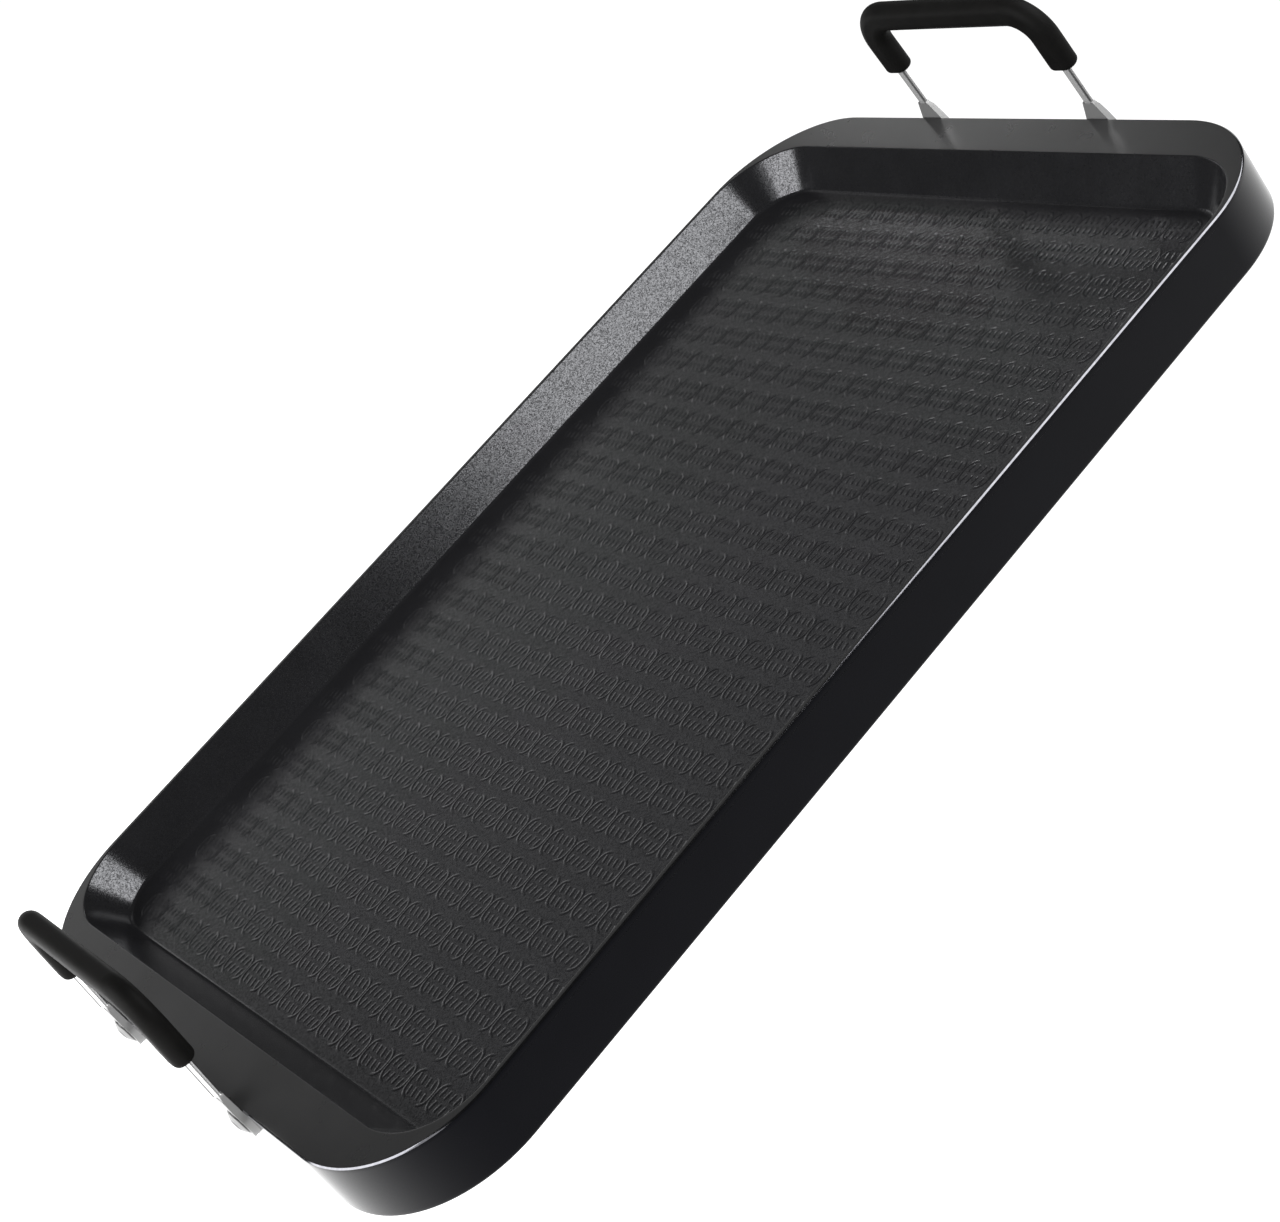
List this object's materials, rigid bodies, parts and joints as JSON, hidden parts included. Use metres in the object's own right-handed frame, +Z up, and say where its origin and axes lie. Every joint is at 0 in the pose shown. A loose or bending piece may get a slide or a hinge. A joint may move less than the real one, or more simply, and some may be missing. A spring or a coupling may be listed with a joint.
{
  "type": "stovetop griddle pan",
  "caption": "Long cast stovetop griddle pan with a coated cooking well, flat end ledges, a straight skirt and a riveted loop handle with a black grip at each end.",
  "frame": {"origin": "centre of the base, on the surface that the pan stands on", "axes": "+X along the tray towards one handle, +Y across the tray, +Z up"},
  "size_m": [0.4662, 0.2814, 0.0809],
  "materials": {
    "cast_coated": "black nonstick coating, satin inside, glossy outside",
    "steel_rod": "polished steel, satin at the flattened feet",
    "rivet": "polished steel",
    "grip": "satin black moulded plastic"
  },
  "bodies": {
    "root": {"griddle_body": "cast_coated", "far_rod": "steel_rod", "near_rod": "steel_rod", "far_grip": "grip", "near_grip": "grip", "far_left_rivet": "rivet", "far_right_rivet": "rivet", "near_left_rivet": "rivet", "near_right_rivet": "rivet"}
  },
  "joints": []
}
